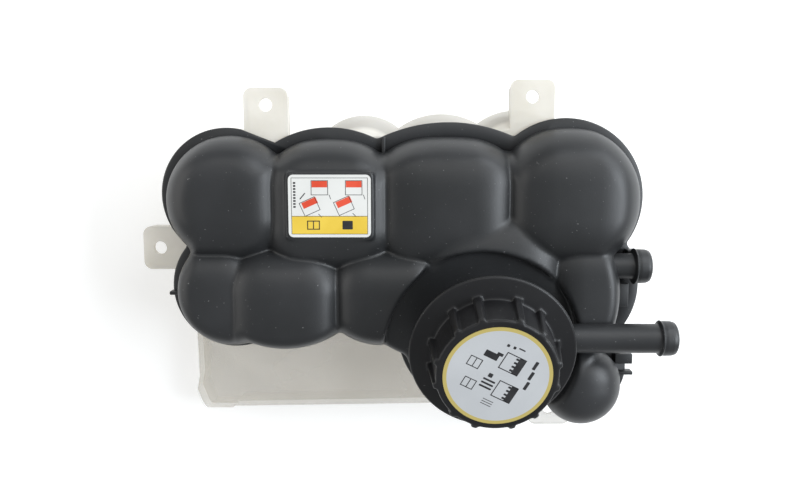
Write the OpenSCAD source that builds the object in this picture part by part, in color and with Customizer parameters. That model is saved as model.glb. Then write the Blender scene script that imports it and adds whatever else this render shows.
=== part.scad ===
// Coolant expansion tank: a lobed black upper shell welded to a clear lower shell,
// with a screw cap that carries the pressure and vacuum valves.
// The frame is +Z up, X along the tank and Y towards its back; z = 0 is the resting face.

/* [Tank] */
// Width of the tank's plan, which all the lobes follow
tank_w = 264; // [200:1:330]
// Height of the weld plane above the resting face
lower_depth = 50; // [40:1:70]
// Rise of the back lobes above the weld flange
dome_rise = 28; // [24:1:36]
// Wall of both shells
wall = 2.6; // [2:0.1:3.4]
// Thickness of each half of the weld flange
flange_t = 3; // [2:0.1:4]

/* [Mounting tabs] */
// Width of a tab
tab_w = 23.5; // [18:0.5:30]
// Diameter of the bolt hole
tab_hole_d = 7; // [5:0.5:9]
// Distance from the hole to the tab's end
tab_end = 9; // [7:0.5:12]
// Corner radius of a tab
tab_corner = 4.5; // [2:0.5:6]
// Height of the stiffening ribs under a tab
tab_rib_h = 5; // [2:0.5:8]
// Thickness of those ribs
tab_rib_t = 1.8; // [1.2:0.1:2.6]

/* [Filler neck] */
// Tilt of the neck towards the front, in degrees
neck_tilt = 13.7; // [5:0.1:20]
// Height of the neck's root above the weld flange
neck_root = 14; // [11:0.5:17]
// Height of the neck above its root
neck_h = 41.5; // [38:0.5:48]
// Outer radius of the neck
neck_r = 24.6; // [22:0.1:27]
// Radius of the neck's bore
neck_bore_r = 20.5; // [18.5:0.1:21.5]
// Radius of the sunk seat round the neck
seat_r = 49; // [45:0.5:52]

/* [Hose stubs] */
// Outer radius of the lower stub's pipe
pipe_r = 7.5; // [6:0.1:8.5]
// Radius over the lower stub's barb
pipe_barb_r = 9; // [8.6:0.1:10]
// Outer radius of the upper stub
stub_r = 6.7; // [5.5:0.1:7.5]
// Radius over the upper stub's barb
stub_barb_r = 9.2; // [8:0.1:10]
// Bore radius of both stubs
stub_bore_r = 4.6; // [3.5:0.1:5]
// Length of each barb
barb_l = 8.5; // [6:0.5:11]

/* [Cap] */
// Radius of the cap's brim
brim_r = 41.5; // [38:0.5:44]
// Thickness of the brim
brim_t = 2.6; // [1.8:0.1:4]
// Height of the grip above the brim
grip_h = 20; // [18:0.5:26]
// Wall of the grip at its top, outside the thread's bore
grip_wall = 3.8; // [3:0.1:6]
// How much wider the grip is at the brim
grip_draft = 1.1; // [0.5:0.1:3]
// Number of pairs of grip ribs
rib_pairs = 6; // [4:1:8]
// Half the angle between the two ribs of a pair
rib_half_angle = 12.3; // [8:0.1:15]
// How far a grip rib stands out at the brim
rib_out = 2.6; // [1:0.1:3]
// Width of a grip rib
rib_w = 4; // [2:0.1:5]
// Thickness of the cap's top
cap_top_t = 3; // [2:0.1:4]
// Radius of the cap label
cap_label_r = 25.9; // [20:0.1:26.5]

/* [Labels] */
// Width of the tank label
label_w = 41.5; // [30:0.5:44]
// Height of the tank label
label_h = 31.5; // [20:0.5:34]
// Thickness of both labels
label_t = 0.3; // [0.2:0.05:0.6]
// Corner radius of the tank label
label_corner = 2.5; // [1:0.5:5]

/* [Valves] */
// Outer radius of the valve insert's barrel
barrel_r = 19.9; // [18:0.1:20]
// Inner radius of the barrel
barrel_in_r = 14.8; // [13.5:0.1:15]
// Length of the barrel below the insert's disc
barrel_l = 27; // [26:0.5:29]
// Thickness of the insert's disc
insert_disc_t = 2.5; // [2:0.1:3]
// Wire radius of the o-ring
o_ring_r = 1.7; // [1.4:0.1:1.8]
// Radius of the pressure valve's seat hole
seat_hole_r = 9; // [8:0.1:10]
// Thickness of the seals
seal_t = 1.5; // [1:0.1:2]
// Wire radius of the pressure spring
spring_wire_r = 0.6; // [0.5:0.05:0.7]
// Turns of the pressure spring
spring_turns = 4; // [3:1:5]
// Radius of the vacuum valve's stem
stem_r = 1.9; // [1.4:0.1:2.2]
// Wire radius of the vacuum spring
small_wire_r = 0.35; // [0.25:0.05:0.4]
// Turns of the vacuum spring
small_turns = 4; // [3:1:6]

/* [Hidden] */
$fn = 72;
// One overrun for every cut
over = 1;
// Clearance between pieces that only face each other
gap = 0.3;
// Running clearance of a stem in its guide
run_gap = 0.08;
// Clearance of a snapped-in piece, and of a seal from its seat
fit_gap = 0.1;
seal_gap = 0.05;
weld_z = lower_depth;
flange_top = weld_z + flange_t;

// Upper lobes: x, y, side radius and crown radius as shares of tank_w,
// then the side centre's and the crown's height as shares of dome_rise
upper_lobe_shares = [
    [-0.337, 0.108, 0.132, 0.417, -0.04, 1.00],
    [-0.133, 0.095, 0.143, 0.492, 0, 1.00],
    [0.076, 0.095, 0.143, 0.492, 0, 1.00],
    [0.335, 0.103, 0.144, 0.379, 0.02, 1.05],
    [-0.347, -0.083, 0.099, 0.265, 0.07, 0.93],
    [0.174, -0.076, 0.166, 0.417, -0.04, 1.04],
    [0.341, -0.076, 0.102, 0.227, 0, 0.96],
    [0.373, -0.263, 0.085, 0.189, 0.14, 0.89],
    [0.167, -0.167, 0.159, 0.303, 0.07, 0.93],
    [-0.252, 0.017, 0.045, 0.200, 0.00, 0.70],
    [-0.131, -0.040, 0.045, 0.200, 0.00, 0.70]];
// The two long front lobes: as above, then x, y and radius of their flatter fronts
// as shares of tank_w, and its centre's height as a share of dome_rise
front_lobe_shares = [
    [-0.229, -0.106, 0.129, 0.341, 0.07, 1.18, -0.227, -0.004, 0.189, 0.286],
    [-0.031, -0.102, 0.129, 0.341, 0.07, 1.18, -0.038, -0.051, 0.136, 0.286]];
// Middle of the plan, inside every outline: x and y as shares of tank_w
core_shares = [[-0.337, 0.102], [0.095, 0.121], [0.333, 0.102], [0.360, -0.076],
    [0.371, -0.227], [0.170, -0.227], [-0.038, -0.083], [-0.333, -0.083]];
// Weld flange: x, y and radius of its arcs as shares of tank_w
flange_shares = [
    [-0.348, 0.1125, 0.135],
    [-0.143, 0.037, 0.211],
    [0.333, 0.106, 0.160],
    [-0.340, -0.075, 0.127],
    [-0.227, 0.004, 0.194],
    [-0.038, -0.042, 0.1485],
    [0.340, -0.073, 0.150],
    [0.386, -0.249, 0.084],
    [0.166, -0.167, 0.171]];
// The long shallow arc at the back, and the line that it is cut on
back_arc_shares = [0.097, -0.062, 0.320];
back_cut_share = 0.105;
// Locating ribs that cross the flange: x and y of their inner ends and their length
// as shares of tank_w, and the way that they point, in degrees
locating_rib_shares = [[-0.033, 0.174, 0.055, 90], [-0.428, -0.088, 0.044, 180], [0.447, -0.257, 0.036, 0]];
// Thickness of a locating rib and its height above the flange
locating_rib_t = 2;
locating_rib_h = 3;
// Lower lobes: x, y and radius as shares of tank_w
lower_lobe_shares = [
    [-0.345, 0.108, 0.120],
    [-0.186, 0.095, 0.132],
    [-0.050, 0.100, 0.130],
    [0.100, 0.090, 0.150],
    [0.250, 0.100, 0.130],
    [0.340, 0.095, 0.136],
    [-0.337, -0.075, 0.106],
    [-0.205, -0.068, 0.112],
    [-0.040, -0.050, 0.125],
    [0.160, -0.160, 0.155],
    [0.330, -0.073, 0.132],
    [0.383, -0.245, 0.072],
    [0.200, -0.030, 0.072],
    [-0.285, 0.010, 0.050],
    [0.105, -0.040, 0.085]];
// Bulges of the lower shell past the flange at the back: x, y, radius
back_bulge_shares = [
    [-0.076, 0.162, 0.112],
    [0.087, 0.125, 0.152],
    [0.245, 0.155, 0.130]];
// Height of the bulges' centres and the radius of the lobes' bottoms, of lower_depth
bulge_height_share = 0.52;
bottom_radius_share = 0.92;
// How much of each bottom is flat, of lower_depth
flat_share = 0.016;
// Trough along the lower front: its plan, x and y as shares of tank_w
trough_shares = [[-0.455, 0.030], [-0.449, -0.300], [-0.455, -0.333], [-0.436, -0.383],
    [-0.379, -0.383], [-0.376, -0.374], [0.22, -0.362], [0.24, -0.34], [0.24, 0.030]];
trough_front_share = -0.384;
// Height of the trough and the rounding of its front, of lower_depth
trough_height_share = 0.44;
trough_round_share = 0.16;

// Tab holes: x, y as shares of tank_w, and the way that the tab points, in degrees
tab_shares = [[-0.2705, 0.2925, 90], [0.2665, 0.309, 90], [-0.4935, 0.003, 180], [0.315, -0.3405, 270]];
// Reach of a tab from its hole back into the flange
tab_reach_share = 0.12;
tab_reach = tank_w * tab_reach_share;

neck_x_share = 0.1735;
neck_y_share = -0.1455;
neck_x = tank_w * neck_x_share;
neck_y = tank_w * neck_y_share;
// Depth of the neck's tube below its root
neck_dip_share = 0.12;
neck_dip = neck_h * neck_dip_share;
// Lower stub: its height above the weld flange and its ends, from the neck's axis
pipe_rise = dome_rise;
pipe_z = flange_top + pipe_rise;
pipe_y = neck_y - (pipe_rise - neck_root) * tan(neck_tilt);
pipe_end_share = 0.534;
pipe_end = tank_w * pipe_end_share;
// Upper stub: place as shares of tank_w, height as a share of dome_rise
stub_y_share = -0.025;
stub_end_share = 0.494;
stub_root_share = 0.35;
stub_rise_share = 0.5;
stub_y = tank_w * stub_y_share;
stub_root = tank_w * stub_root_share;
stub_end = tank_w * stub_end_share;
stub_z = flange_top + dome_rise * stub_rise_share;
// Taper and rounding of a barb, of its length
barb_nose_share = 0.35;

// Flat pad under the tank label: place as shares of tank_w, height as a share of dome_rise
pad_x_share = -0.134;
pad_y_share = 0.0985;
pad_rise_share = 0.95;
pad_margin = 2;
pad_depth = 5;
pad_x = tank_w * pad_x_share;
pad_y = tank_w * pad_y_share;
pad_z = flange_top + dome_rise * pad_rise_share;

// Heights along the neck's axis, from its root
neck_over_brim = 9.2;
brim_top = neck_h - neck_over_brim;
brim_bottom = brim_top - brim_t;
cap_top = brim_top + grip_h;
cap_under = cap_top - cap_top_t;
// Room for the thread between neck and cap
thread_room = 0.8;
cap_bore_r = neck_r + thread_room;
grip_top_r = cap_bore_r + grip_wall;
grip_base_r = grip_top_r + grip_draft;
// How far a rib stands out at the top, of rib_out, and the turn of the first pair
rib_top_share = 0.58;
rib_turn = -1.5;
// How far the brim falls to its rim
brim_drop = 1.6;
// Short skirt under the brim
skirt_h = 3;
skirt_t = 3.2;
// Rounded edge of the cap's top
cap_edge = 1.2;
// How deep a grip rib is rooted in the grip
rib_root = 2;
// Lip that holds the insert in the cap
lip_t = 1.2;
lip_w = 2.6;
lip_gap = 0.6;
lip_bottom = neck_h + lip_gap;
// Ring inside the cap that keeps the insert's disc down
keeper_r = 21;
keeper_t = 2;
disc_bottom = lip_bottom + lip_t + gap;
disc_top = disc_bottom + insert_disc_t;
disc_r = cap_bore_r - gap;
barrel_bottom = disc_bottom - barrel_l;
// O-ring groove: how far the ring stands from the neck's bore, and its place up the barrel
ring_gap = 0.05;
ring_mid_share = 0.5;
ring_mid_r = neck_bore_r - ring_gap - o_ring_r;
ring_s = barrel_bottom + barrel_l * ring_mid_share;
// Valve seat above the barrel's end
seat_rise = 8;
seat_ledge_t = 2.5;
seat_s = barrel_bottom + seat_rise;
plate_gap = 1.8;
plate_r = barrel_in_r - plate_gap;
plate_t = 2;
seal_s = seat_s + seal_gap;
plate_s = seal_s + seal_t;
// Holes through the plate that the vacuum seal covers
vent_r = 0.7;
vent_mid_r = 4.2;
vents = 6;
hub_gap = 0.6;
hub_r = seat_hole_r - hub_gap;
collar_r = 6.2;
collar_t = 1.2;
collar_h = 2;
retainer_t = 1.8;
retainer_hole_r = 6;
retainer_s = disc_bottom - 2 * retainer_t;
spring_mid_r = (collar_r + plate_r) / 2;
poppet_r = 6.8;
poppet_t = 1.5;
head_r = 3.5;
head_t = 1.2;
small_spring_h = 5.4;
small_mid_r = (stem_r + head_r) / 2;
cage_t = 1.4;
cage_slot_w = 4;
cage_hub_r = 2.6;

module tank_place(x_share, y_share, z) {
    translate([tank_w * x_share, tank_w * y_share, z]) children();
}

module neck_place() {
    translate([neck_x, neck_y, flange_top + neck_root]) rotate([neck_tilt, 0, 0]) children();
}

// Core of the plan as a prism
module core(z, h) {
    translate([0, 0, z]) linear_extrude(h) polygon([for (p = core_shares) p * tank_w]);
}

// A slab of the weld flange's outline
module flange_slab(z, h) {
    for (f = flange_shares) tank_place(f[0], f[1], z) cylinder(r = tank_w * f[2], h = h);
    core(z, h);
    intersection() {
        tank_place(back_arc_shares[0], back_arc_shares[1], z)
            cylinder(r = tank_w * back_arc_shares[2], h = h);
        translate([-tank_w / 2, tank_w * back_cut_share, z - over])
            cube([tank_w, tank_w / 2, h + 2 * over]);
    }
}

// A ball placed by a row of shares: x, y, radius and height
module lobe_ball(x_share, y_share, r_share, z, inset) {
    tank_place(x_share, y_share, z) sphere(r = tank_w * r_share - inset);
}

// One lobe of the upper shell: a flat crown on steep sides, inset by a wall for the cavity
module upper_lobe(l, inset) {
    intersection() {
        lobe_ball(l[0], l[1], l[2], flange_top + dome_rise * l[4], inset);
        lobe_ball(l[0], l[1], l[3], flange_top + dome_rise * l[5] - tank_w * l[3], inset);
    }
}

// All the upper lobes, cut at the given height
module dome_body(inset, bottom) {
    difference() {
        union() {
            for (l = upper_lobe_shares) upper_lobe(l, inset);
            for (f = front_lobe_shares) intersection() {
                upper_lobe(f, inset);
                lobe_ball(f[6], f[7], f[8], flange_top + dome_rise * f[9], inset);
            }
        }
        translate([-tank_w, -tank_w, bottom - 2 * tank_w]) cube([2 * tank_w, 2 * tank_w, 2 * tank_w]);
    }
}

module locating_rib(length) {
    translate([0, -locating_rib_t / 2, weld_z]) cube([length, locating_rib_t, flange_t + locating_rib_h]);
}

// A hose barb that points along +Z from a pipe's end
module barb(r, core_r) {
    nose = barb_l * barb_nose_share;
    rotate_extrude()
        polygon([[0, 0], [r, 0], [r, barb_l - nose], [core_r, barb_l], [0, barb_l]]);
}

// A pipe along +X with a barb at its end and a bore
module stub(x, y, z, end, r, barb_r) {
    translate([x, y, z]) rotate([0, 90, 0]) cylinder(r = r, h = end - x - barb_l);
    translate([end - barb_l, y, z]) rotate([0, 90, 0]) barb(barb_r, r);
}

module stub_bore(x, y, z, end) {
    translate([x, y, z]) rotate([0, 90, 0]) cylinder(r = stub_bore_r, h = end - x + over);
}

module pad_block(margin, z, t) {
    w = label_w + 2 * margin;
    h = label_h + 2 * margin;
    translate([pad_x - w / 2, pad_y - h / 2, z]) cube([w, h, t]);
}

module upper_shell() {
    color("#3a3c3e") difference() {
        union() {
            difference() {
                union() {
                    flange_slab(weld_z, flange_t);
                    for (l = locating_rib_shares) tank_place(l[0], l[1], 0) rotate([0, 0, l[3]])
                        locating_rib(tank_w * l[2]);
                    dome_body(0, weld_z);
                    pad_block(pad_margin - over, pad_z - pad_depth, pad_depth);
                }
                neck_place() cylinder(r = seat_r, h = 2 * neck_h);
                pad_block(pad_margin, pad_z, dome_rise);
            }
            neck_place() translate([0, 0, -neck_dip]) cylinder(r = neck_r, h = neck_h + neck_dip);
            stub(neck_x, pipe_y, pipe_z, pipe_end, pipe_r, pipe_barb_r);
            stub(stub_root, stub_y, stub_z, stub_end, stub_r, stub_barb_r);
        }
        difference() {
            dome_body(wall, weld_z - over);
            neck_place() translate([0, 0, -wall]) cylinder(r = seat_r + wall, h = 2 * neck_h);
        }
        neck_place() translate([0, 0, -neck_dip - over]) cylinder(r = neck_bore_r, h = 2 * neck_h);
        stub_bore(neck_x, pipe_y, pipe_z, pipe_end);
        stub_bore(stub_root, stub_y, stub_z, stub_end);
    }
}

// A lobed body below the weld plane, inset by a wall for its cavity
module lower_body(inset) {
    for (l = lower_lobe_shares) let (bottom_r = max(lower_depth * bottom_radius_share, tank_w * l[2]),
        bottom_z = bottom_r - lower_depth * flat_share) intersection() {
        tank_place(l[0], l[1], 0) cylinder(r = tank_w * l[2] - inset, h = weld_z + over);
        union() {
            tank_place(l[0], l[1], bottom_z) sphere(r = bottom_r - inset);
            tank_place(l[0], l[1], bottom_z) cylinder(r = tank_w * l[2], h = weld_z);
        }
    }
    for (b = back_bulge_shares) lobe_ball(b[0], b[1], b[2], lower_depth * bulge_height_share, inset);
}

// The trough along the front, inset by a wall for its cavity
module trough(inset) {
    mid = (trough_shares[0] + trough_shares[len(trough_shares) - 3]) / 2 * tank_w;
    top = lower_depth * trough_height_share;
    round_r = lower_depth * trough_round_share;
    front = tank_w * trough_front_share;
    intersection() {
        translate([0, 0, inset]) linear_extrude(top) polygon([for (p = trough_shares) let (q = p * tank_w)
            [q[0] + (q[0] < mid[0] ? inset : -inset), q[1] + (q[1] < mid[1] ? inset : -inset)]]);
        translate([-tank_w / 2, 0, 0]) rotate([90, 0, 90]) linear_extrude(tank_w) union() {
            translate([front + round_r, 0]) square([tank_w, top - inset]);
            translate([front, 0]) square([tank_w, top - round_r]);
            translate([front + round_r, top - round_r]) circle(r = round_r - inset);
        }
    }
}

// A tab that points along +X from its hole at the origin
module tab_plate() {
    span = tab_reach + tab_end;
    translate([-tab_reach, -tab_w / 2, 0]) cube([span - tab_corner, tab_w, flange_t]);
    translate([-tab_reach, tab_corner - tab_w / 2, 0]) cube([span, tab_w - 2 * tab_corner, flange_t]);
    for (side = [-1, 1]) {
        translate([tab_end - tab_corner, side * (tab_w / 2 - tab_corner), 0])
            cylinder(r = tab_corner, h = flange_t);
        translate([-tab_reach, side * (tab_w - tab_rib_t) / 2 - tab_rib_t / 2, -tab_rib_h])
            cube([span - tab_corner, tab_rib_t, tab_rib_h]);
    }
}

module lower_shell() {
    color("#d9d6cf") difference() {
        union() {
            flange_slab(weld_z - flange_t, flange_t);
            lower_body(0);
            trough(0);
            for (t = tab_shares) tank_place(t[0], t[1], weld_z - flange_t) rotate([0, 0, t[2]]) tab_plate();
        }
        lower_body(wall);
        trough(wall);
        for (t = tab_shares) tank_place(t[0], t[1], weld_z - 2 * flange_t)
            cylinder(d = tab_hole_d, h = 3 * flange_t);
        translate([-tank_w, -tank_w, -tank_w]) cube([2 * tank_w, 2 * tank_w, tank_w]);
        translate([-tank_w, -tank_w, weld_z]) cube([2 * tank_w, 2 * tank_w, tank_w]);
    }
}

module tank_label() {
    w = label_w / 2 - label_corner;
    h = label_h / 2 - label_corner;
    color("#f4f4f0") translate([pad_x, pad_y, pad_z]) union() {
        translate([-label_w / 2, -h, 0]) cube([label_w, 2 * h, label_t]);
        translate([-w, -label_h / 2, 0]) cube([2 * w, label_h, label_t]);
        for (x = [-w, w], y = [-h, h]) translate([x, y, 0]) cylinder(r = label_corner, h = label_t);
    }
}

// One rib of the grip, which tapers with it
module grip_rib() {
    top = cap_top - cap_edge;
    rotate([90, 0, 0]) linear_extrude(rib_w, center = true) polygon([[grip_top_r - rib_root, brim_top - over],
        [grip_base_r + rib_out, brim_top - over], [grip_base_r + rib_out, brim_top],
        [grip_top_r + rib_out * rib_top_share, top],
        [grip_top_r, cap_top - cap_edge / 2], [grip_top_r - rib_root, cap_top - cap_edge / 2]]);
}

module cap_shell() {
    skirt_bottom = brim_bottom - skirt_h;
    color("#3a3c3e") neck_place() union() {
        rotate_extrude() polygon([[0, cap_under], [keeper_r - keeper_t, cap_under],
            [keeper_r - keeper_t, disc_top + gap], [keeper_r, disc_top + gap], [keeper_r, cap_under],
            [cap_bore_r, cap_under], [cap_bore_r, lip_bottom + lip_t],
            [cap_bore_r - lip_w, lip_bottom + lip_t], [cap_bore_r - lip_w, lip_bottom],
            [cap_bore_r, lip_bottom], [cap_bore_r, skirt_bottom], [cap_bore_r + skirt_t, skirt_bottom],
            [cap_bore_r + skirt_t, brim_bottom], [brim_r, brim_bottom - brim_drop], [brim_r, brim_top - brim_drop],
            [grip_base_r, brim_top], [grip_top_r, cap_top - cap_edge], [grip_top_r - cap_edge, cap_top],
            [0, cap_top]]);
        for (i = [1:rib_pairs], side = [-1, 1])
            rotate([0, 0, rib_turn + i * 360 / rib_pairs + side * rib_half_angle]) grip_rib();
    }
}

module cap_label() {
    color("#c9b65a") neck_place() translate([0, 0, cap_top]) cylinder(r = cap_label_r, h = label_t);
}

module valve_insert() {
    groove = ring_mid_r - o_ring_r - ring_gap;
    color("#303030") neck_place() rotate_extrude() polygon([[barrel_in_r, disc_top], [disc_r, disc_top],
        [disc_r, disc_bottom], [barrel_r, disc_bottom], [barrel_r, ring_s + o_ring_r + ring_gap],
        [groove, ring_s + o_ring_r + ring_gap], [groove, ring_s - o_ring_r - ring_gap],
        [barrel_r, ring_s - o_ring_r - ring_gap], [barrel_r, barrel_bottom], [barrel_in_r, barrel_bottom],
        [barrel_in_r, seat_s - seat_ledge_t], [seat_hole_r, seat_s - seat_ledge_t], [seat_hole_r, seat_s],
        [barrel_in_r, seat_s]]);
}

module insert_o_ring() {
    color("#181818") neck_place() translate([0, 0, ring_s]) rotate_extrude() translate([ring_mid_r, 0])
        circle(r = o_ring_r);
}

module ring(r, hole_r, s, t) {
    translate([0, 0, s]) difference() {
        cylinder(r = r, h = t);
        translate([0, 0, -over]) cylinder(r = hole_r, h = t + 2 * over);
    }
}

module spring_retainer() {
    color("#c8c8c4") neck_place() ring(barrel_in_r - fit_gap, retainer_hole_r, retainer_s, retainer_t);
}

// A coil spring with a dead turn at each end, standing on z = 0
module coil_spring(mid_r, wire_r, h, turns) {
    sides = 6;
    steps = 16;
    dead = 1;
    dead_pitch = 2 * wire_r * 1.05;
    pitch = (h - 2 * wire_r - 2 * dead * dead_pitch) / turns;
    total = (turns + 2 * dead) * steps;
    function coil_z(n) = wire_r + dead_pitch * (min(n, dead) + max(0, n - dead - turns))
        + pitch * max(0, min(n - dead, turns));
    points = [for (i = [0:total], k = [0:sides - 1]) let (a = 360 * i / steps, b = 360 * k / sides,
        r = mid_r + wire_r * cos(b)) [r * cos(a), r * sin(a), coil_z(i / steps) + wire_r * sin(b)]];
    walls = [for (i = [0:total - 1], k = [0:sides - 1]) let (j = (k + 1) % sides)
        [i * sides + k, i * sides + j, (i + 1) * sides + j, (i + 1) * sides + k]];
    polyhedron(points, concat(walls, [[for (k = [sides - 1:-1:0]) k]],
        [[for (k = [0:sides - 1]) total * sides + k]]), convexity = 4);
}

module pressure_spring() {
    s = plate_s + plate_t;
    color("#b9bbbd") neck_place() translate([0, 0, s])
        coil_spring(spring_mid_r, spring_wire_r, retainer_s - s, spring_turns);
}

module pressure_valve() {
    guide_r = stem_r + run_gap;
    top = plate_s + plate_t;
    color("#d8d4c8") neck_place() difference() {
        rotate_extrude() polygon([[guide_r, seal_s], [hub_r, seal_s], [hub_r, plate_s], [plate_r, plate_s],
            [plate_r, top], [collar_r, top], [collar_r, top + collar_h], [collar_r - collar_t, top + collar_h],
            [collar_r - collar_t, top], [guide_r, top]]);
        for (i = [1:vents]) rotate([0, 0, i * 360 / vents]) translate([vent_mid_r, 0, seal_s - over])
            cylinder(r = vent_r, h = top - seal_s + 2 * over);
    }
}

module pressure_seal() {
    color("#181818") neck_place() ring(plate_r, hub_r + fit_gap, seal_s, seal_t);
}

module vacuum_valve() {
    bottom = seal_s - seal_gap - seal_t - poppet_t;
    head_s = plate_s + plate_t + small_spring_h;
    color("#c8a24a") neck_place() rotate_extrude() polygon([[0, bottom], [poppet_r, bottom],
        [poppet_r, bottom + poppet_t], [stem_r, bottom + poppet_t], [stem_r, head_s], [head_r, head_s],
        [head_r, head_s + head_t], [0, head_s + head_t]]);
}

module vacuum_seal() {
    color("#181818") neck_place() ring(poppet_r, stem_r + fit_gap, seal_s - seal_gap - seal_t, seal_t);
}

module vacuum_spring() {
    color("#b9bbbd") neck_place() translate([0, 0, plate_s + plate_t])
        coil_spring(small_mid_r, small_wire_r, small_spring_h, small_turns);
}

module valve_cage() {
    color("#303030") neck_place() difference() {
        translate([0, 0, barrel_bottom]) cylinder(r = barrel_in_r - fit_gap, h = cage_t);
        for (a = [0:60:300]) rotate([0, 0, a]) translate([cage_hub_r + cage_slot_w, 0, barrel_bottom - over])
            cylinder(d = cage_slot_w, h = cage_t + 2 * over);
    }
}

lower_shell();
upper_shell();
tank_label();
cap_shell();
cap_label();
valve_insert();
insert_o_ring();
spring_retainer();
pressure_spring();
pressure_valve();
pressure_seal();
vacuum_valve();
vacuum_seal();
vacuum_spring();
valve_cage();
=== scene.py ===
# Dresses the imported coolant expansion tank: smooth shells, locating ribs and small lugs, hose stubs, the
# neck with its thread, the cap and the two labels, with materials, floor, lights and camera.
# Lengths are in millimetres until a mesh is made, with z = 0 at the resting face, and shaders are in metres.
import math
import bmesh
import bpy
import numpy as np
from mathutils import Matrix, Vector


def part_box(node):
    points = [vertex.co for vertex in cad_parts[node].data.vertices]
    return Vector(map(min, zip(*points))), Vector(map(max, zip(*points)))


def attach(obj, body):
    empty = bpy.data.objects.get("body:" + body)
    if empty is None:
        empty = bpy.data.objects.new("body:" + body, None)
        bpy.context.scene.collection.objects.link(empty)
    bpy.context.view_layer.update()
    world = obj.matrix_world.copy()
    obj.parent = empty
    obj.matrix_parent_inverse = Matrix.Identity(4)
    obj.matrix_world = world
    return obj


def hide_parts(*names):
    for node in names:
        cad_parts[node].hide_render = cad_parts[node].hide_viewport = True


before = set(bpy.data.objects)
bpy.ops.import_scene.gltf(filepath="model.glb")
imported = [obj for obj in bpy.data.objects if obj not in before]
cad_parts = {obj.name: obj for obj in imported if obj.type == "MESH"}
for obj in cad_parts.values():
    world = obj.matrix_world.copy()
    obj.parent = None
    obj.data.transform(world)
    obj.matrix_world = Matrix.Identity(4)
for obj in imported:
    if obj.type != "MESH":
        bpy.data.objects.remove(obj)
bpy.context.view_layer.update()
MM = 0.001
# Top and thickness of the upper shell's weld flange
FLANGE, FLANGE_T = 53.0, 3.0
# Neck: tilt, height of its root over the flange, root, and its axes (across, back up the slope, along)
TILT = math.radians(13.7)
ROOT_Z = 14.0
ROOT = np.array((45.804, -38.412, FLANGE + ROOT_Z))
EX = np.array((1.0, 0.0, 0.0))
EY = np.array((0.0, math.cos(TILT), math.sin(TILT)))
EN = np.array((0.0, -math.sin(TILT), math.cos(TILT)))
# Heights along the neck: its end, the brim's top and the cap's top
NECK_H, BRIM_TOP, CAP_TOP = 41.5, 32.3, 52.3
NECK_BORE = 20.5


# Materials
def material(name, color, rough, **sockets):
    m = bpy.data.materials.new(name)
    m.use_nodes = True
    for k, v in dict(sockets, Base_Color=(*color, 1), Roughness=rough).items():
        shader(m).inputs[k.replace("_", " ")].default_value = v
    return m


def shader(m):
    return m.node_tree.nodes["Principled BSDF"]


def node(m, kind, **sockets):
    """A new node of a material, with its inputs set by name."""
    n = m.node_tree.nodes.new("ShaderNode" + kind)
    for k, v in sockets.items():
        n.inputs[k.replace("_", " ")].default_value = v
    return n


def noise(m, scale, detail):
    """Noise over the object, as an output from 0 to 1."""
    place = node(m, "TexCoord")
    n = node(m, "TexNoise", Scale=scale, Detail=detail)
    m.node_tree.links.new(place.outputs["Object"], n.inputs["Vector"])
    return n.outputs["Fac"]


def grain(m, scale, strength, relief=0.0002):
    """Fine moulded grain as a bump."""
    bump = node(m, "Bump", Strength=strength, Distance=relief)
    m.node_tree.links.new(noise(m, scale, 3.0), bump.inputs["Height"])
    m.node_tree.links.new(bump.outputs["Normal"], shader(m).inputs["Normal"])


# Where in the noise a mottled tone starts and ends, and how far a speck fades out
TONES = (0.35, 0.68)
SPECK_FADE = 0.05


def mottle(m, low, high, scale, specks=None):
    """Colour that wanders between two tones, with sparse dust specks given as (grey, scale, threshold)."""
    links = m.node_tree.links
    ramp = node(m, "ValToRGB")
    for stop, place, tone in zip(ramp.color_ramp.elements, TONES, (low, high)):
        stop.position = place
        stop.color = (*tone, 1)
    links.new(noise(m, scale, 5.0), ramp.inputs["Fac"])
    out = ramp.outputs["Color"]
    if specks:
        grey, speck_scale, threshold = specks
        fade = node(m, "ValToRGB")
        fade.color_ramp.elements[0].position = threshold
        fade.color_ramp.elements[1].position = threshold + SPECK_FADE
        mix = node(m, "MixRGB", Color2=(grey, grey, grey, 1))
        links.new(noise(m, speck_scale, 1.0), fade.inputs["Fac"])
        links.new(fade.outputs["Color"], mix.inputs["Fac"])
        links.new(out, mix.inputs["Color1"])
        out = mix.outputs["Color"]
    links.new(out, shader(m).inputs["Base Color"])


def span(m, value, start, end, first, last):
    """Maps a value from start..end to first..last, and holds it beyond."""
    n = node(m, "MapRange", From_Min=start, From_Max=end, To_Min=first, To_Max=last)
    m.node_tree.links.new(value, n.inputs["Value"])
    return n.outputs["Result"]


def largest(m, a, b):
    n = node(m, "Math")
    n.operation = "MAXIMUM"
    m.node_tree.links.new(a, n.inputs[0])
    m.node_tree.links.new(b, n.inputs[1])
    return n.outputs["Value"]


# The see-through wall in metres: y from the trough to the dense wall, and the heights over which the
# shade of the black shell comes in above the trough and ends below the weld flange
TROUGH_Y = (-0.060, -0.020)
SHADE_IN, SHADE_OUT = (0.016, 0.026), (0.044, 0.0465)


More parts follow.
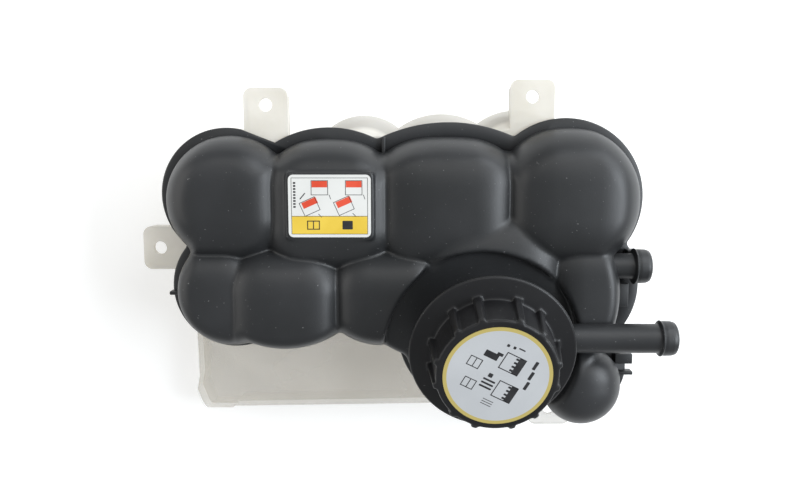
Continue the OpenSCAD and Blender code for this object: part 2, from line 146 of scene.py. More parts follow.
def see_through(m, trough, wall, edge_blend, tone):
    """Thin wall: clearest over the front trough, denser where it is seen edge on, and darkened by tone on
    its side walls, which the black shell shades."""
    links = m.node_tree.links
    place, axes = node(m, "TexCoord"), node(m, "SeparateXYZ")
    links.new(place.outputs["Object"], axes.inputs["Vector"])
    edge = node(m, "LayerWeight", Blend=edge_blend)
    by_y = span(m, axes.outputs["Y"], *TROUGH_Y, trough, wall)
    links.new(largest(m, by_y, edge.outputs["Facing"]), shader(m).inputs["Alpha"])
    height = axes.outputs["Z"]
    lit = largest(m, span(m, height, *SHADE_OUT, tone, 1.0), span(m, height, *SHADE_IN, 1.0, tone))
    base = shader(m).inputs["Base Color"]
    scale = node(m, "VectorMath")
    scale.operation = "SCALE"
    links.new(base.links[0].from_socket, scale.inputs[0])
    links.new(lit, scale.inputs["Scale"])
    links.new(scale.outputs["Vector"], base)


BLACK = material("black_pp", (0.02, 0.021, 0.023), 0.42, Specular_IOR_Level=0.5)
grain(BLACK, 1400, 0.25, 0.0001)
mottle(BLACK, (0.014, 0.015, 0.016), (0.026, 0.027, 0.029), 18, (0.16, 900, 0.755))
CAP = material("cap_pp", (0.010, 0.010, 0.011), 0.38, Specular_IOR_Level=0.36)
grain(CAP, 1800, 0.15, 0.00008)
mottle(CAP, (0.007, 0.007, 0.008), (0.014, 0.014, 0.015), 25, (0.12, 1100, 0.77))
# The milky plastic's faint glow stands in for the light that comes through it
CLEAR = material("clear_pp", (0.70, 0.66, 0.58), 0.36, Subsurface_Weight=0.15, Subsurface_Scale=0.008,
                 Subsurface_Radius=(1.0, 0.9, 0.7), Specular_IOR_Level=0.5,
                 Emission_Strength=0.10, Emission_Color=(1.0, 0.97, 0.90, 1))
grain(CLEAR, 500, 0.2)
mottle(CLEAR, (0.64, 0.61, 0.54), (0.80, 0.77, 0.71), 24)
see_through(CLEAR, trough=0.30, wall=0.76, edge_blend=0.30, tone=0.60)
GOLD = material("gold_print", (0.62, 0.50, 0.16), 0.38, Metallic=0.25)
grain(GOLD, 900, 0.05)
SILVER = material("silver_print", (0.60, 0.615, 0.63), 0.36, Metallic=0.15)
mottle(SILVER, (0.57, 0.585, 0.60), (0.63, 0.645, 0.66), 30)
INK = material("ink", (0.02, 0.02, 0.022), 0.45)
mottle(INK, (0.015, 0.015, 0.017), (0.03, 0.03, 0.032), 200)
PAPER = material("label_white", (0.76, 0.76, 0.73), 0.35, Coat_Weight=0.2)
mottle(PAPER, (0.74, 0.74, 0.71), (0.78, 0.78, 0.75), 60)
YELLOW = material("label_yellow", (0.80, 0.55, 0.06), 0.35)
mottle(YELLOW, (0.76, 0.52, 0.05), (0.84, 0.60, 0.08), 60)
RED = material("label_red", (0.75, 0.08, 0.04), 0.35)
mottle(RED, (0.70, 0.07, 0.03), (0.80, 0.10, 0.05), 60)
RUBBER = material("rubber", (0.012, 0.012, 0.012), 0.55)
grain(RUBBER, 2500, 0.2, 0.00005)
STEEL = material("spring_steel", (0.60, 0.60, 0.60), 0.22, Metallic=1.0)
grain(STEEL, 3000, 0.1, 0.00003)
BRASS = material("brass", (0.66, 0.48, 0.20), 0.3, Metallic=1.0)
grain(BRASS, 3000, 0.1, 0.00003)
CREAM = material("valve_pp", (0.66, 0.62, 0.52), 0.4)
grain(CREAM, 1500, 0.15, 0.00005)
GREY = material("retainer_pp", (0.5, 0.5, 0.47), 0.4)
grain(GREY, 1500, 0.15, 0.00005)
# The table's own light stands in for the photo's overexposure
TABLE = material("floor", (0.86, 0.86, 0.855), 0.5, Emission_Strength=0.32,
                 Emission_Color=(1.0, 0.995, 0.98, 1))
mottle(TABLE, (0.84, 0.84, 0.835), (0.88, 0.88, 0.875), 3)


# Shapes from distances: negative inside, with the last argument of smin and smax as the blend's width
def smin(a, b, k):
    h = np.maximum(k - np.abs(a - b), 0) / k
    return np.minimum(a, b) - h * h * k / 4


def smax(a, b, k):
    return -smin(-a, -b, k)


def ball(p, x, y, z, r):
    return np.sqrt((p[0] - x) ** 2 + (p[1] - y) ** 2 + (p[2] - z) ** 2) - r


def circle(x, y, at_x, at_y, r):
    return np.hypot(x - at_x, y - at_y) - r


def pillow(p, x, y, a, b, r, z):
    """Distance to a ball whose centre is spread over a flat rectangle."""
    dx = np.maximum(np.abs(p[0] - x) - a, 0)
    dy = np.maximum(np.abs(p[1] - y) - b, 0)
    return np.sqrt(dx ** 2 + dy ** 2 + (p[2] - z) ** 2) - r


def polygon(p, pts):
    """Signed distance in plan to a polygon."""
    d = np.full(p[0].shape, np.inf)
    sign = np.ones(p[0].shape)
    for (ax, ay), (bx, by) in zip(pts, pts[-1:] + pts[:-1]):
        ex, ey = bx - ax, by - ay
        wx, wy = p[0] - ax, p[1] - ay
        t = np.clip((wx * ex + wy * ey) / (ex * ex + ey * ey), 0, 1)
        d = np.minimum(d, (wx - ex * t) ** 2 + (wy - ey * t) ** 2)
        c1, c2, c3 = p[1] >= ay, p[1] < by, ex * wy > ey * wx
        flip = (c1 & c2 & c3) | (~c1 & ~c2 & ~c3)
        sign = np.where(flip, -sign, sign)
    return sign * np.sqrt(d)


# How a net's points are moved onto the surface: tries, probe for the slope, least square of the slope that
# a move is worked out from, and the longest move as a share of the net's step
TRIES, PROBE, LEAST_SLOPE, LONGEST = 4, 0.04, 0.2, 0.5


def surface(sdf, lo, hi, step):
    """Vertices and quads of the zero surface: a surface net whose points are moved onto it."""
    ax = [np.arange(lo[i], hi[i] + step, step) for i in range(3)]
    V = sdf(np.meshgrid(*ax, indexing="ij", sparse=True))
    S = V < 0
    n = V.shape
    # Cells that the surface crosses
    cnt = sum(S[a:n[0] - 1 + a, b:n[1] - 1 + b, c:n[2] - 1 + c].astype(int)
              for a in (0, 1) for b in (0, 1) for c in (0, 1))
    I, J, K = np.nonzero((cnt > 0) & (cnt < 8))
    index = np.full(cnt.shape, -1)
    index[I, J, K] = np.arange(len(I))
    # One point for each of them, the mean of the crossings on its edges
    acc, num = np.zeros((len(I), 3)), np.zeros(len(I))
    for d in range(3):
        u = [1 if q == d else 0 for q in range(3)]
        for a in (0, 1):
            for b in (0, 1):
                o = [0, 0, 0]
                o[(d + 1) % 3], o[(d + 2) % 3] = a, b
                v0 = V[I + o[0], J + o[1], K + o[2]]
                v1 = V[I + o[0] + u[0], J + o[1] + u[1], K + o[2] + u[2]]
                hit = (v0 < 0) != (v1 < 0)
                t = np.where(hit, v0 / np.where(hit, v0 - v1, 1), 0)
                pos = np.array(o, float)[None] + t[:, None] * np.array(u)[None]
                acc += np.where(hit[:, None], pos, 0)
                num += hit
    P = np.stack((I, J, K), 1) + acc / num[:, None]
    P = P * step + np.array([a[0] for a in ax])
    for _ in range(TRIES):
        q = [P[:, 0], P[:, 1], P[:, 2]]
        f = sdf(q)
        slope = np.stack([(sdf([q[c] + (PROBE if c == i else 0) for c in range(3)])
                           - sdf([q[c] - (PROBE if c == i else 0) for c in range(3)])) / (2 * PROBE)
                          for i in range(3)], 1)
        move = -(f / np.maximum((slope * slope).sum(1), LEAST_SLOPE))[:, None] * slope
        size = np.linalg.norm(move, axis=1)
        P += move * np.minimum(1, LONGEST * step / np.maximum(size, 1e-9))[:, None]
    # One quad round each edge of the grid that the surface crosses
    quads = []
    for d in range(3):
        a, b = (d + 1) % 3, (d + 2) % 3
        s0 = [slice(None)] * 3
        s1 = [slice(None)] * 3
        s0[d], s1[d] = slice(0, -1), slice(1, None)
        g = np.stack(np.nonzero(S[tuple(s0)] != S[tuple(s1)]), 1)
        g = g[(g[:, a] > 0) & (g[:, b] > 0) & (g[:, a] < n[a] - 1) & (g[:, b] < n[b] - 1)]
        inside = S[g[:, 0], g[:, 1], g[:, 2]]
        cells = []
        for da, db in ((-1, -1), (0, -1), (0, 0), (-1, 0)):
            c = g.copy()
            c[:, a] += da
            c[:, b] += db
            cells.append(index[c[:, 0], c[:, 1], c[:, 2]])
        q = np.stack(cells, 1)
        q[~inside] = q[~inside][:, ::-1]
        quads.append(q)
    q = np.concatenate(quads)
    return P, q[(q >= 0).all(1)]


# Meshes
def put(name, data):
    """An object of this data in the scene."""
    o = bpy.data.objects.new(name, data)
    bpy.context.scene.collection.objects.link(o)
    return o


def add(name, verts, faces, mats, body, smooth=True, face_mats=None):
    """A mesh given in millimetres, which moves with a body."""
    m = bpy.data.meshes.new(name)
    if isinstance(faces, np.ndarray):
        faces = faces.tolist()
    m.from_pydata((np.asarray(verts, float) * MM).tolist(), [], faces)
    for mat in mats:
        m.materials.append(mat)
    if face_mats is not None:
        m.polygons.foreach_set("material_index", face_mats)
    m.polygons.foreach_set("use_smooth", [smooth] * len(m.polygons))
    m.update()
    o = put(name, m)
    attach(o, body)
    return o


def block(name, low, high, round_by=0.5):
    """A box of the upper shell with rounded edges, from its lowest to its highest corner."""
    bm = bmesh.new()
    bmesh.ops.create_cube(bm, size=1)
    for v in bm.verts:
        v.co = Vector([lo + (hi - lo) * (c + 0.5) for lo, hi, c in zip(low, high, v.co)])
    bmesh.ops.bevel(bm, geom=bm.edges[:], offset=round_by, segments=3, affect="EDGES", profile=0.5)
    bm.verts.index_update()
    verts = [tuple(v.co) for v in bm.verts]
    faces = [tuple(v.index for v in f.verts) for f in bm.faces]
    bm.free()
    add(name, verts, faces, [BLACK], "tank")


def from_neck(local):
    """Neck coordinates (across, up the slope, along the neck) as x, y, z."""
    local = np.asarray(local, float)
    return ROOT + local[:, :1] * EX + local[:, 1:2] * EY + local[:, 2:3] * EN


def to_neck(p):
    """Radius, height along the neck and the two coordinates across it, with z from the flange."""
    x, y, z = p[0] - ROOT[0], p[1] - ROOT[1], p[2] - ROOT_Z
    s = y * EN[1] + z * EN[2]
    t = y * EY[1] + z * EY[2]
    return np.sqrt(x * x + t * t), s, x, t


def strips(rows, count, closed=False):
    """Quads between neighbouring rows of points, each row a closed loop of count points."""
    return [(i * count + j, i * count + (j + 1) % count, (i + 1) % rows * count + (j + 1) % count,
             (i + 1) % rows * count + j) for i in range(rows if closed else rows - 1) for j in range(count)]


def lathe(profile, sides):
    """Points (x, y, s) and quads of a profile of (radius, height), turned about the third axis."""
    a = np.linspace(0, 2 * math.pi, sides, endpoint=False)
    v = np.concatenate([np.stack((r * np.cos(a), r * np.sin(a), np.full(sides, s)), 1) for r, s in profile])
    return v, strips(len(profile), sides)


def rounded(profile, r, steps=3, most=0.45):
    """Rounds the inner corners of an open profile, by at most a share of their shorter leg."""
    out = [profile[0]]
    for p0, p1, p2 in zip(profile, profile[1:], profile[2:]):
        p0, p1, p2 = map(np.array, (p0, p1, p2))
        a, b = p0 - p1, p2 - p1
        la, lb = np.linalg.norm(a), np.linalg.norm(b)
        k = min(r, la * most, lb * most)
        s, e = p1 + a / la * k, p1 + b / lb * k
        for i in range(steps + 1):
            t = i / steps
            out.append(tuple((1 - t) ** 2 * s + 2 * t * (1 - t) * p1 + t * t * e))
    out.append(profile[-1])
    return out


# Upper shell, with heights from the flange.
# Lobes: x, y, half length and width of the core, side radius, its height, crown height, crown radius
LOBES = [(-92, 29, 9, 9, 27.0, 1, 28, 180), (-36.0, 24, 12, 10, 26.5, 1.5, 28, 180),
         (24.0, 24, 14, 11, 26.0, 2, 28, 180), (89.5, 28, 11, 9, 29.5, 0.5, 30, 180),
         (-99.5, -25, 6.5, 9, 21.5, 4.5, 26, 130), (-60.0, -30, 10, 10, 23.5, 7, 31, 150),
         (-5.0, -28, 10, 9, 23.5, 7, 31, 150), (48.0, -15.0, 11, 11, 32.0, -2, 30, 130),
         (103.0, -22.0, 8, 12, 22.0, 4, 27, 120), (97.0, -70.5, 0, 2, 25.0, 0, 25, 50),
         (45.0, -43.0, 5, 3, 42.0, -4, 26, 80)]
# Walls round the lobes, as balls: x, y, radius, height of the ball's centre
WALLS = [(-88.0, -20.0, 29.5, 8), (-60.0, -1.0, 50.0, 8), (-10.0, -13.5, 36.0, 8), (58.0, -22.0, 60.0, -2),
         (98.5, -73.0, 21.5, 8), (44.0, -44.0, 43.0, 2)]
# Back walls lean in by SHOULDER over the height RISE: x, y, radius at the flange
BACK_WALLS = [(-89.1, 27.3, 33.7), (-37.0, 15.3, 45.4), (24.6, 0.6, 61.9), (88.0, 27.3, 38.7)]
SHOULDER, RISE = 9.0, 26.0
for wall_x, wall_y, foot in BACK_WALLS:
    centre = (RISE ** 2 + SHOULDER ** 2 - 2 * SHOULDER * foot) / (2 * RISE)
    WALLS.append((wall_x, wall_y, math.hypot(foot, centre), centre))
# Middle of the plan, inside every wall and flange arc: x, y
MIDDLE = [(-89, 27), (25, 25), (88, 27), (95, -20), (98, -70), (45, -60), (-10, -22), (-88, -22)]
# Blends: crown to side, lobe to lobe, wall to wall, lobes to walls
CROWN_BLEND, CREASE, WALL_BLEND, SHOULDER_BLEND = 3.5, 1.3, 2, 4
# Label's pad: x, y and height of its top, half length and width, how deep it goes, what is cut free round
# and over it, blends at its corners and edges, and where it meets the lobes and is cut out of them
PAD = (-35.376, 26.004, 26.6)
PAD_HALF, PAD_DEEP = (22.2, 17.2), 10
PAD_FREE, PAD_OVER = 0.7, 20
PAD_CORNER, PAD_EDGE, PAD_FOOT, PAD_CUT = 3, 1, 1.5, 0.8
# Sunk seat round the neck, off the neck's own axis: x, y, radius, blends at its floor and rim
SEAT = (-3.0, -8.0, 50.5)
SEAT_FLOOR, SEAT_RIM = 2.5, 3.0
# Collar at the neck's foot: radius, height, blend into the seat
COLLAR_R, COLLAR_H, COLLAR_BLEND = 24.6, 6, 3
# Rounding of small edges, and of edges that stay sharp
SOFT, SHARP = 1, 0.1
# The box that holds the shell
SHELL_LOW, SHELL_HIGH = (-132, -100, -0.8), (138, 76, 42)


def pad_box(p, grow, low, high):
    plan = smax(np.abs(p[0] - PAD[0]) - PAD_HALF[0] - grow, np.abs(p[1] - PAD[1]) - PAD_HALF[1] - grow,
                PAD_CORNER)
    return smax(plan, smax(p[2] - high, low - p[2], SHARP), PAD_EDGE)


def dome(p):
    lobes = None
    for x, y, a, b, r, z, top, big in LOBES:
        lobe = smax(pillow(p, x, y, a, b, r, z), ball(p, x, y, top - big, big), CROWN_BLEND)
        lobes = lobe if lobes is None else smin(lobes, lobe, CREASE)
    inside = polygon([p[0] + 0 * p[1], p[1] + 0 * p[0]], MIDDLE) + 0 * p[2]
    for x, y, r, z in WALLS:
        inside = smin(inside, ball(p, x, y, z, r), WALL_BLEND)
    f = smax(lobes, inside, SHOULDER_BLEND)
    f = smin(f, pad_box(p, 0, PAD[2] - PAD_DEEP, PAD[2]), PAD_FOOT)
    f = smax(f, -pad_box(p, PAD_FREE, PAD[2], PAD[2] + PAD_OVER), PAD_CUT)
    r, s, x, t = to_neck(p)
    f = smax(f, -smax(circle(x, t, *SEAT), -s, SEAT_FLOOR), SEAT_RIM)
    f = smin(f, smax(r - COLLAR_R, s - COLLAR_H, SOFT), COLLAR_BLEND)
    return smax(f, NECK_BORE - r, SOFT)


step = 0.95
V, F = surface(dome, SHELL_LOW, SHELL_HIGH, step)
V[:, 2] += FLANGE
add("upper_skin", V, F, [BLACK], "tank")

# Weld flange. Arcs in plan: x, y, radius, and the long back arc, which counts from BACK_FROM on
RIM = [(-92.0, 29.7, 35.6), (-37.7, 9.8, 55.7), (87.8, 28.1, 42.3), (-89.7, -19.8, 33.5), (-60.0, 1.0, 51.2),
       (-10.0, -11.0, 39.2), (89.7, -19.2, 39.7), (102.0, -65.7, 22.2), (43.8, -44.2, 45.2)]
BACK_ARC, BACK_FROM = (25.5, -16.4, 84.6), 27.7
RIM_BLEND = 1.5
# Corners of the flange's section: how far out from the rim, height
RIM_SECTION = [(-14, FLANGE), (-0.8, FLANGE), (-0.25, FLANGE - 0.25), (0, FLANGE - 0.8),
               (0, FLANGE - FLANGE_T + 0.3), (-0.3, FLANGE - FLANGE_T), (-14, FLANGE - FLANGE_T)]
RIM_POINTS = 900
# A point inside the tank and the radius round it from which the rim is sought inwards
RIM_CENTRE, RIM_START = (40, 10), 200.0
SEEK_STEPS, SEEK_SHARE, SEEK_LEAST, SEEK_NEAR = 400, 0.7, 0.005, 0.01


def rim(p):
    d = polygon(p, MIDDLE)
    for x, y, r in RIM:
        d = smin(d, circle(*p, x, y, r), RIM_BLEND)
    back = smax(circle(*p, *BACK_ARC), BACK_FROM - p[1], SOFT)
    return smin(d, back, RIM_BLEND)


def rim_contour(grow, z):
    """Points at height z round the rim grown by grow, sought from outside along rays."""
    a = np.linspace(0, 2 * math.pi, RIM_POINTS, endpoint=False)
    r = np.full(RIM_POINTS, RIM_START)
    for _ in range(SEEK_STEPS):
        v = rim([RIM_CENTRE[0] + r * np.cos(a), RIM_CENTRE[1] + r * np.sin(a)]) - grow
        r = np.where(v > SEEK_NEAR, r - np.maximum(v * SEEK_SHARE, SEEK_LEAST), r)
    x, y = RIM_CENTRE[0] + r * np.cos(a), RIM_CENTRE[1] + r * np.sin(a)
    return np.column_stack((x, y, np.full(RIM_POINTS, z)))


add("upper_flange", np.concatenate([rim_contour(grow, z) for grow, z in RIM_SECTION]),
    strips(len(RIM_SECTION), RIM_POINTS, closed=True), [BLACK], "tank")

# Hose stubs: y and z of the axis, and the profile as (radius, x), from the shell over the barb to the bore
PIPE_Y = ROOT[1] - ROOT_Z * math.tan(TILT)
STUB_BORE, STUB_BORE_END = 4.6, 100
LOWER_STUB = [(7.5, 60), (7.5, 131.6), (8.2, 132.2), (9.0, 132.47), (9.35, 132.9), (9.0, 133.4),
              (8.75, 133.6), (8.95, 135), (8.85, 138.3), (8.3, 140.2), (7.2, 140.97), (STUB_BORE, 140.97),
              (STUB_BORE, STUB_BORE_END)]
UPPER_STUB = [(6.7, 92), (6.7, 121.2), (8.0, 121.7), (9.1, 121.9), (9.5, 122.3), (9.1, 122.8),
              (8.8, 123.0), (9.0, 124.5), (8.8, 128.2), (8.1, 129.8), (7.0, 130.41), (STUB_BORE, 130.41),
              (STUB_BORE, STUB_BORE_END)]
for name, axis_y, axis_z, profile in (("lower_stub_skin", PIPE_Y, 81, LOWER_STUB),
                                      ("upper_stub_skin", -6.6, 67, UPPER_STUB)):
    v, f = lathe(rounded(profile, 0.35), 64)
    add(name, np.stack((v[:, 2], axis_y + v[:, 1], axis_z + v[:, 0]), 1), f, [BLACK], "tank")

# Locating ribs over the flange and the small lugs on its rim: lowest and highest corner
BLOCKS = dict(back_rib=((-9.7, 44, 50), (-7.7, 60.5, 56)), left_rib=((-124.6, -24.2, 50), (-112, -22.2, 56)),
              right_rib=((117, -68.8, 50), (127.5, -66.8, 56)), right_pin=((121, -3.5, 52), (126, 0.8, 60)),
              right_step=((112.5, -29, 52), (121.5, -16.5, 63)),
              right_lug=((117, -62, 50.3), (126.5, -56.5, 58)))
for name, corners in BLOCKS.items():
    block(name, *corners)

# Neck as (radius, height along it), and its thread
NECK = [(24.2, 2), (23.6, NECK_H - 0.6), (23.0, NECK_H), (NECK_BORE + 0.1, NECK_H), (NECK_BORE, NECK_H - 0.8),
        (NECK_BORE, -3)]
v, f = lathe(rounded(NECK, 0.5), 128)
add("neck_skin", from_neck(v), f, [BLACK], "tank")
THREAD_ROOT, THREAD_CREST, THREAD_W = 23.5, 25.1, 2.6
THREAD_START, LEAD, TURNS = NECK_H - 17, 5, 3
TURN_STEPS, RUNOUT = 72, 1 / 6


def thread(name, body):
    """A trapezoid ridge round the neck, which runs out to nothing over a part of a turn at both ends."""
    n = TURNS * TURN_STEPS
    v = []
    for i in range(n + 1):
        turn = i / TURN_STEPS
        fade = min(1, turn / RUNOUT, (TURNS - turn) / RUNOUT)
        a = 2 * math.pi * turn
        s = THREAD_START + LEAD * turn
        crest = THREAD_ROOT + (THREAD_CREST - THREAD_ROOT) * fade
        for r, ds in ((THREAD_ROOT, -THREAD_W / 2), (crest, -THREAD_W / 4), (crest, THREAD_W / 4),
                      (THREAD_ROOT, THREAD_W / 2)):
            v.append((r * math.cos(a), r * math.sin(a), s + ds))
    f = [(i * 4 + k, i * 4 + k + 1, (i + 1) * 4 + k + 1, (i + 1) * 4 + k) for i in range(n) for k in range(3)]
    add(name, from_neck(v), f, [BLACK], body)


thread("neck_thread", "tank")
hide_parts("upper_shell")

# Cap, in neck coordinates. Grip: radius at its foot, what it loses up to the top, and the top edge's blend
GRIP_R, GRIP_TAPER, GRIP_EDGE = 30.3, 1.1, 1.5
# Ribs in pairs: directions in degrees, tip radius and half width at the foot with their tapers, half angle
# in radians, root radius, gap under the cap's top, and blends of tip, top and foot
RIB_PAIRS, RIB_FIRST, RIB_APART = 6, -1.5, 12.3
RIBS = [math.radians(RIB_FIRST + 360 / RIB_PAIRS * k + side)
        for k in range(RIB_PAIRS) for side in (-RIB_APART, RIB_APART)]
RIB_TIP, RIB_TIP_TAPER, RIB_HALF, RIB_HALF_TAPER = 32.9, 2.2, 2.1, 0.4
RIB_REACH, RIB_ROOT, RIB_GAP = 0.5, 27, 0.5
RIB_TIP_EDGE, RIB_TOP_EDGE, RIB_FOOT = 1.2, 1.0, 1.0
# Brim: radius, thickness, the fall of its top outside BRIM_FLAT, and blends of its rim and foot
BRIM_R, BRIM_T, BRIM_FALL, BRIM_FLAT = 41.5, 2.6, 1.6, 31
BRIM_EDGE, BRIM_FOOT = 1.0, 1.2
# Skirt under the brim: middle radius, half thickness, depth under the brim's top, blend
SKIRT_R, SKIRT_HALF, SKIRT_DEEP, SKIRT_EDGE = 27, 1.6, 5.6, 0.5
# Bore round the neck, the roof over it, and blends inside the bore and at its mouth
CAP_BORE, CAP_ROOF = 25.4, 3
BORE_BLEND, MOUTH_BLEND = 0.8, 0.6
# Blends where the grip and then its ribs end at the brim's underside
UNDER, RIBS_UNDER = 0.5, 0.4
# A distance beyond the reach of every blend
AWAY = 9


def cap(p):
    x, y, s = p
    r = np.sqrt(x * x + y * y) + 0 * s
    a = np.arctan2(y, x) + 0 * s
    t = np.clip((s - BRIM_TOP) / (CAP_TOP - BRIM_TOP), -0.2, 1.1)
    body = smax(r - (GRIP_R - GRIP_TAPER * t), s - CAP_TOP, GRIP_EDGE)
    body = smax(body, BRIM_TOP - BRIM_T - s, UNDER)
    for c in RIBS:
        d = (a - c + math.pi) % (2 * math.pi) - math.pi
        side = np.abs(r * np.sin(d)) - (RIB_HALF - RIB_HALF_TAPER * t)
        tip = r * np.cos(d) - (RIB_TIP - RIB_TIP_TAPER * t)
        rib = smax(smax(side, tip, RIB_TIP_EDGE), s - CAP_TOP + RIB_GAP, RIB_TOP_EDGE)
        rib = np.where(np.abs(d) < RIB_REACH, smax(rib, RIB_ROOT - r, SOFT), AWAY)
        body = smin(body, rib, RIB_FOOT)
    body = smax(body, BRIM_TOP - BRIM_T - s, RIBS_UNDER)
    top = BRIM_TOP - BRIM_FALL * np.clip((r - BRIM_FLAT) / (BRIM_R - BRIM_FLAT), 0, 1)
    brim = smax(r - BRIM_R, np.abs(s - top + BRIM_T / 2) - BRIM_T / 2, BRIM_EDGE)
    body = smin(body, brim, BRIM_FOOT)
    skirt = smax(np.abs(r - SKIRT_R) - SKIRT_HALF, BRIM_TOP - SKIRT_DEEP - s, SKIRT_EDGE)
    body = smin(body, skirt + np.where(s > BRIM_TOP, AWAY, 0), SKIRT_EDGE)
    return smax(body, smin(CAP_BORE - r, CAP_TOP - CAP_ROOF - s, BORE_BLEND), MOUTH_BLEND)


CAP_BOX = BRIM_R + 1.5
step = 0.62
V, F = surface(cap, (-CAP_BOX, -CAP_BOX, BRIM_TOP - 7), (CAP_BOX, CAP_BOX, CAP_TOP + 1), step)
add("cap_skin", from_neck(V), F, [CAP], "cap")
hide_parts("cap_shell")


# Printed labels
def turned(points, degrees):
    c, s = math.cos(math.radians(degrees)), math.sin(math.radians(degrees))
    return [(x * c - y * s, x * s + y * c) for x, y in points]


def shifted(points, x, y):
    return [(x + a, y + b) for a, b in points]


class Print:
    """Flat printed shapes with a material each, gathered into one mesh and turned together."""

    def __init__(self, mats, turn=0):
        self.v, self.f, self.m, self.mats, self.turn = [], [], [], mats, turn

    def loop(self, pts, z):
        """Adds points, and gives their numbers."""
        self.v += [(x, y, z) for x, y in pts]
        return range(len(self.v) - len(pts), len(self.v))

    def face(self, corners, mat):
        self.f.append(tuple(corners))
        self.m.append(self.mats.index(mat))

    def band(self, first, second, mat):
        """Quads from one loop to another."""
        for i in range(len(first)):
            j = (i + 1) % len(first)
            self.face((first[i], first[j], second[j], second[i]), mat)

    def box(self, x, y, w, h, mat, z, turn=0, r=0.0):
        """A box about x, y, with corners of radius r."""
        pts = []
        for side_x, side_y, start in ((1, 1, 0), (-1, 1, 90), (-1, -1, 180), (1, -1, 270)):
            for k in range(5) if r else (0,):
                a = math.radians(start + 22.5 * k)
                pts.append((side_x * (w / 2 - r) + r * math.cos(a), side_y * (h / 2 - r) + r * math.sin(a)))
        loop = self.loop(turned(shifted(turned(pts, turn), x, y), self.turn), z)
        self.face(loop, mat)
        return loop

    def frame(self, x, y, w, h, line, mat, z, turn=0):
        """Four bars just inside a box."""
        for bar_x, bar_y, bar_w, bar_h in ((0, h / 2 - line / 2, w, line), (0, line / 2 - h / 2, w, line),
                                           (w / 2 - line / 2, 0, line, h), (line / 2 - w / 2, 0, line, h)):
            (at_x, at_y), = shifted(turned([(bar_x, bar_y)], turn), x, y)
            self.box(at_x, at_y, bar_w, bar_h, mat, z, turn)


# Thickness of both labels, with the inks of the cap label lying just over it
LABEL_T = 0.3
INK_Z, OVER_Z = LABEL_T + 0.02, LABEL_T + 0.022
# Cap label: gold edge, silver field, and plain dark shapes turned together
CAP_LABEL_R, FIELD_R, LABEL_SIDES = 25.9, 24.1, 128
p = Print([GOLD, SILVER, INK], turn=-28)
around = [(math.cos(a), math.sin(a)) for a in np.linspace(0, 2 * math.pi, LABEL_SIDES, endpoint=False)]
outer = p.loop([(CAP_LABEL_R * x, CAP_LABEL_R * y) for x, y in around], LABEL_T)
inner = p.loop([(FIELD_R * x, FIELD_R * y) for x, y in around], LABEL_T)
low = p.loop([(CAP_LABEL_R * x, CAP_LABEL_R * y) for x, y in around], 0)
p.band(outer, inner, GOLD)
p.band(low, outer, GOLD)
p.face(inner, SILVER)
# Two large signs, each a frame with a dark side and four short marks
for x, y, w, h in ((2.6, 9.0, 10.4, 9.4), (7.0, -5.6, 10.4, 9.4)):
    p.frame(x, y, w, h, 0.5, INK, INK_Z)
    p.box(x + w / 2 - 2.0, y, 3.0, h, INK, INK_Z)
    for mark_y in (-3.2, -1.1, 1.1, 3.2):
        p.box(x + w / 2 - 4.2, y + mark_y, 1.6, 1.1, INK, OVER_Z, r=0.3)
# Short bars: x, y, width, height
BARS = [(-8.4, 8.6, 7.0, 3.4), (-5.0, 10.8, 3.0, 1.6), (-2.6, -3.6, 6.4, 1.0), (-2.6, -5.6, 6.4, 1.0),
        (-2.6, -7.6, 6.4, 1.0), (-3.4, -0.9, 2.2, 2.2), (12.6, 13.2, 1.6, 4.6), (13.6, 7.6, 1.6, 4.6),
        (14.4, 2.0, 1.6, 4.6), (-4.0, 16.6, 1.4, 1.4), (-0.8, 16.9, 1.4, 1.4), (2.8, 17.6, 3.4, 0.7)]
for x, y, w, h in BARS:
    p.box(x, y, w, h, INK, INK_Z, r=0.3)
# Two small frames with a bar in the middle
for x, y in ((-13.6, 1.8), (-10.6, -9.2)):
    p.frame(x, y, 6.4, 5.4, 0.45, INK, INK_Z)
    p.box(x, y, 0.45, 5.0, INK, OVER_Z)
# Fine lines
for y in (-13.2, -14.5, -15.8):
    p.box(2.4, y, 5.6, 0.35, INK, INK_Z)
label = add("cap_label_print", from_neck(np.array(p.v) + (0, 0, CAP_TOP)), p.f, p.mats, "cap", False, p.m)
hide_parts("cap_label")

# Tank label: white with a thin frame, two pairs of fields and a yellow strip, in layers over the paper
W, H, CORNER_R = 41.5, 31.5, 2.5
STRIP_Z, FRAME_Z, FIELD_Z, SIGN_Z, TOP_Z = 0.315, 0.32, 0.325, 0.33, 0.335
p = Print([PAPER, INK, YELLOW, RED])
sheet = p.box(0, 0, W, H, PAPER, LABEL_T, r=CORNER_R)
low = p.loop([p.v[i][:2] for i in sheet], 0)
p.band(low, sheet, PAPER)
p.frame(0, 0, W - 3.0, H - 3.0, 0.25, INK, FRAME_Z)
p.box(0, -9.6, W - 3.6, 8.8, YELLOW, STRIP_Z)
p.box(0, -5.1, W - 3.0, 0.25, INK, FIELD_Z)
for x, y, t in ((-5.0, 9.2, 0), (12.2, 9.2, 0), (-10.0, -0.2, 24), (7.2, 0.2, 24)):
    p.frame(x, y, 8.6, 7.4, 0.3, INK, SIGN_Z, t)
    p.box(x, y + 1.8, 7.8, 3.2, RED, FIELD_Z, t)
    p.box(x + 5.2, y - 4.6, 0.3, 2.4, INK, SIGN_Z, t + 20)
p.box(-13.6, 5.0, 4.0, 0.5, INK, SIGN_Z, 50)
for k in range(9):
    p.box(-17.6, 11.6 - 1.5 * k, 1.2, 0.9, INK, SIGN_Z)
p.frame(-8.2, -9.6, 6.4, 4.6, 0.5, INK, SIGN_Z)
p.box(-8.2, -9.6, 0.5, 4.2, INK, TOP_Z)
p.box(9.0, -9.6, 5.2, 4.4, INK, SIGN_Z, r=0.4)
lo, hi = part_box("tank_label")
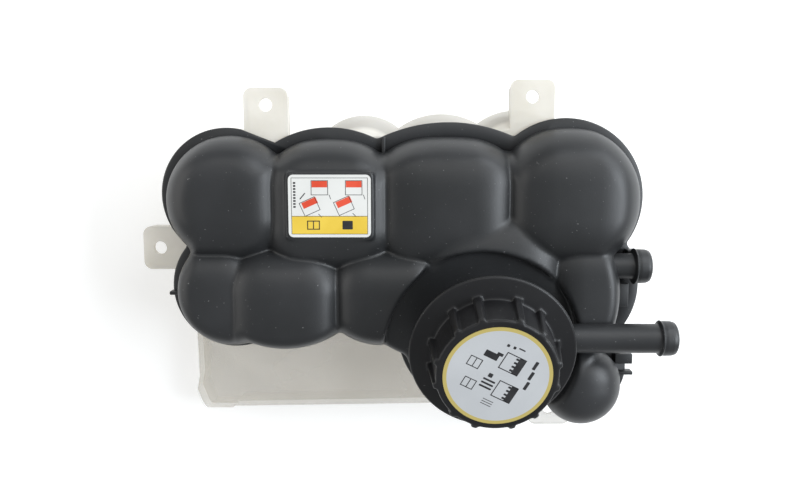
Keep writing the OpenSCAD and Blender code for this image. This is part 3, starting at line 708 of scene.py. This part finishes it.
origin = np.array(((lo[0] + hi[0]) / 2, (lo[1] + hi[1]) / 2, lo[2])) / MM
label = add("tank_label_print", np.array(p.v) + origin, p.f, p.mats, "tank", False, p.m)
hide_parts("tank_label")

# CAD nodes that stay
KEPT = dict(lower_shell=CLEAR, valve_insert=BLACK, insert_o_ring=RUBBER, spring_retainer=GREY,
            pressure_spring=STEEL, pressure_valve=CREAM, pressure_seal=RUBBER, vacuum_valve=BRASS,
            vacuum_seal=RUBBER, vacuum_spring=STEEL, valve_cage=BLACK)
for name, mat in KEPT.items():
    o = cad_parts[name]
    if not o.material_slots:
        o.data.materials.append(mat)
    for slot in o.material_slots:
        slot.material = mat

# Floor, light and camera, in metres
FLOOR_HALF = 2
m = bpy.data.meshes.new("floor")
m.from_pydata([(-FLOOR_HALF, -FLOOR_HALF, 0), (FLOOR_HALF, -FLOOR_HALF, 0), (FLOOR_HALF, FLOOR_HALF, 0),
               (-FLOOR_HALF, FLOOR_HALF, 0)], [], [(0, 1, 2, 3)])
m.materials.append(TABLE)
o = put("floor", m)

scene = bpy.context.scene
scene.view_settings.view_transform = "Standard"
if scene.world is None:
    scene.world = bpy.data.worlds.new("World")
scene.world.use_nodes = True
world_nodes = scene.world.node_tree.nodes
sky = world_nodes.get("Background") or world_nodes.new("ShaderNodeBackground")
sky.inputs["Color"].default_value = (0.96, 0.98, 1.0, 1)
sky.inputs["Strength"].default_value = 0.42


def area(name, place, target, size, power, color):
    """A rectangular light that faces a point."""
    d = bpy.data.lights.new(name, "AREA")
    d.shape = "RECTANGLE"
    d.size, d.size_y = size
    d.energy = power
    d.color = color
    o = put(name, d)
    o.location = place
    o.rotation_euler = (Vector(target) - Vector(place)).to_track_quat("-Z", "Y").to_euler()


area("window", (1.1, 1.0, 0.75), (0, 0, 0.03), (1.6, 1.0), 16, (0.90, 0.95, 1.0))
area("side_window", (1.1, 0.05, 0.95), (0, 0, 0.05), (0.8, 0.6), 13, (0.88, 0.94, 1.0))
area("left_wall", (-1.3, 0.2, 0.6), (0, 0, 0.05), (1.2, 0.9), 5, (1.0, 0.98, 0.95))
area("ceiling", (0.1, 0.9, 1.3), (0, 0, 0.05), (1.6, 0.9), 5, (1.0, 0.99, 0.96))

# The camera looks down on the tank, from a little behind its middle
CAMERA_PLACE, CAMERA_TILT = (0, 0.0601, 0.4808), -8
cam = bpy.data.cameras.new("camera")
cam.sensor_width = 36
cam.lens = 36
cam.clip_start = 0.01
o = put("camera", cam)
o.location = CAMERA_PLACE
o.rotation_euler = (math.radians(CAMERA_TILT), 0, 0)
scene.camera = o
